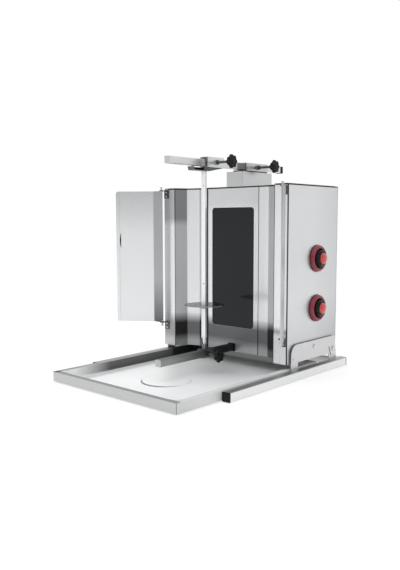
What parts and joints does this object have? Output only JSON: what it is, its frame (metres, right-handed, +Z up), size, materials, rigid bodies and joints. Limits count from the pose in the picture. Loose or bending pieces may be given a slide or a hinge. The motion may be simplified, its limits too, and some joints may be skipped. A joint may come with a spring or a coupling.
{
  "type": "electric skewer grill",
  "caption": "Electric upright skewer grill: steel casing with a glass-fronted heater in a recess, skewer between two arms, wind guards, heat controls and a sliding drip tray.",
  "frame": {"origin": "on the table, under the centre of the base frame", "axes": "+Z up, -Y towards the cook, +X towards the heat controls"},
  "size_m": [0.6768, 0.741, 0.6333],
  "materials": {
    "brushed_steel": "brushed",
    "reflector_steel": "satin",
    "zinc_steel": "satin",
    "bright_steel": "polished",
    "black_plastic": "matte",
    "knob_black": "satin",
    "control_red": "gloss",
    "glass_ceramic": "gloss",
    "gasket_fibre": "matte",
    "insulation": "matte",
    "element_steel": "satin",
    "bearing_bronze": "satin",
    "steatite": "satin"
  },
  "bodies": {
    "frame": {"rail_left": "brushed_steel", "rail_right": "brushed_steel", "rail_end_caps": "black_plastic", "cross_straps": "brushed_steel", "rear_cross_tube": "brushed_steel", "side_bracket_left": "brushed_steel", "side_bracket_right": "brushed_steel", "bracket_bolts": "bright_steel", "bracket_spacers": "zinc_steel", "side_panel_left": "brushed_steel", "side_panel_right": "brushed_steel", "reflector_left": "reflector_steel", "reflector_right": "reflector_steel", "glass_frame_panel": "reflector_steel", "top_cover": "brushed_steel", "bottom_plate": "brushed_steel", "rear_panel": "brushed_steel", "ceramic_glass": "glass_ceramic", "glass_gasket": "gasket_fibre", "heater_tray": "zinc_steel", "insulation_board": "insulation", "heating_element_lower": "element_steel", "heating_element_upper": "element_steel", "heater_straps": "zinc_steel", "control_bezels": "black_plastic", "bezel_rings": "control_red", "energy_regulators": "black_plastic", "terminal_block": "steatite", "cable_gland": "black_plastic", "arm_support_box": "brushed_steel", "sleeve_spacer": "zinc_steel", "rear_clamp_sleeve": "brushed_steel", "lower_arm": "brushed_steel", "lower_arm_collar": "black_plastic", "lower_arm_socket": "zinc_steel", "guard_hinge_lugs": "brushed_steel", "guard_hinge_pins": "bright_steel"},
    "drip_tray": {"drip_tray": "brushed_steel"},
    "top_arm": {"top_arm": "brushed_steel", "top_arm_cap": "black_plastic"},
    "upper_carriage": {"upper_carriage": "brushed_steel", "skewer_channel": "brushed_steel", "skewer_bearing": "bearing_bronze"},
    "lower_carriage": {"lower_carriage": "brushed_steel"},
    "skewer": {"skewer": "bright_steel"},
    "meat_plate": {"meat_plate": "bright_steel"},
    "rear_clamp": {"rear_clamp_screw": "zinc_steel", "rear_star_knob": "knob_black"},
    "upper_clamp": {"upper_clamp_screw": "zinc_steel", "upper_star_knob": "knob_black"},
    "lower_clamp": {"lower_clamp_screw": "zinc_steel", "lower_star_knob": "knob_black"},
    "guard_left": {"guard_left": "brushed_steel"},
    "guard_right": {"guard_right": "brushed_steel"},
    "control_upper": {"control_knob_upper": "knob_black", "knob_cap_upper": "control_red", "knob_shaft_upper": "zinc_steel"},
    "control_lower": {"control_knob_lower": "knob_black", "knob_cap_lower": "control_red", "knob_shaft_lower": "zinc_steel"}
  },
  "joints": [
    {"name": "tray_slide", "type": "slide", "parent": "frame", "child": "drip_tray", "axis": [0, 1, 0], "range_m": [-0.3, 0.095]},
    {"name": "top_arm_slide", "type": "slide", "parent": "frame", "child": "top_arm", "axis": [0, 1, 0], "range_m": [-0.06, 0.06]},
    {"name": "lower_carriage_slide", "type": "slide", "parent": "frame", "child": "lower_carriage", "axis": [0, 1, 0], "range_m": [-0.06, 0.045]},
    {"name": "upper_carriage_slide", "type": "slide", "parent": "frame", "child": "upper_carriage", "axis": [0, 1, 0], "range_m": [-0.06, 0.045]},
    {"name": "skewer_spin", "type": "hinge", "parent": "lower_carriage", "child": "skewer", "pos_m": [0, -0.08, 0.3], "axis": [0, 0, 1], "continuous": true},
    {"name": "meat_plate_slide", "type": "slide", "parent": "skewer", "child": "meat_plate", "axis": [0, 0, 1], "range_m": [0, 0.2]},
    {"name": "rear_clamp_turn", "type": "hinge", "parent": "frame", "child": "rear_clamp", "pos_m": [0.071, 0.159, 0.611], "axis": [1, 0, 0], "range_deg": [0, 360]},
    {"name": "upper_clamp_turn", "type": "hinge", "parent": "upper_carriage", "child": "upper_clamp", "pos_m": [0.069, -0.045, 0.6137], "axis": [1, 0, 0], "range_deg": [0, 360]},
    {"name": "lower_clamp_turn", "type": "hinge", "parent": "lower_carriage", "child": "lower_clamp", "pos_m": [0.047, -0.08, 0.0575], "axis": [1, 0, 0], "range_deg": [0, 360]},
    {"name": "guard_left_swing", "type": "hinge", "parent": "frame", "child": "guard_left", "pos_m": [-0.2336, -0.023, 0.33], "axis": [0, 0, 1], "range_deg": [-37, 143]},
    {"name": "guard_right_swing", "type": "hinge", "parent": "frame", "child": "guard_right", "pos_m": [0.2336, -0.023, 0.33], "axis": [0, 0, 1], "range_deg": [-121, 59]},
    {"name": "control_upper_turn", "type": "hinge", "parent": "frame", "child": "control_upper", "pos_m": [0.2445, 0.1477, 0.3363], "axis": [1, 0, 0], "range_deg": [-270, 0]},
    {"name": "control_lower_turn", "type": "hinge", "parent": "frame", "child": "control_lower", "pos_m": [0.2445, 0.1477, 0.1904], "axis": [1, 0, 0], "range_deg": [-270, 0]}
  ],
  "couplings": [
    {"joint": "upper_carriage_slide", "follows": "lower_carriage_slide", "ratio": 1}
  ]
}
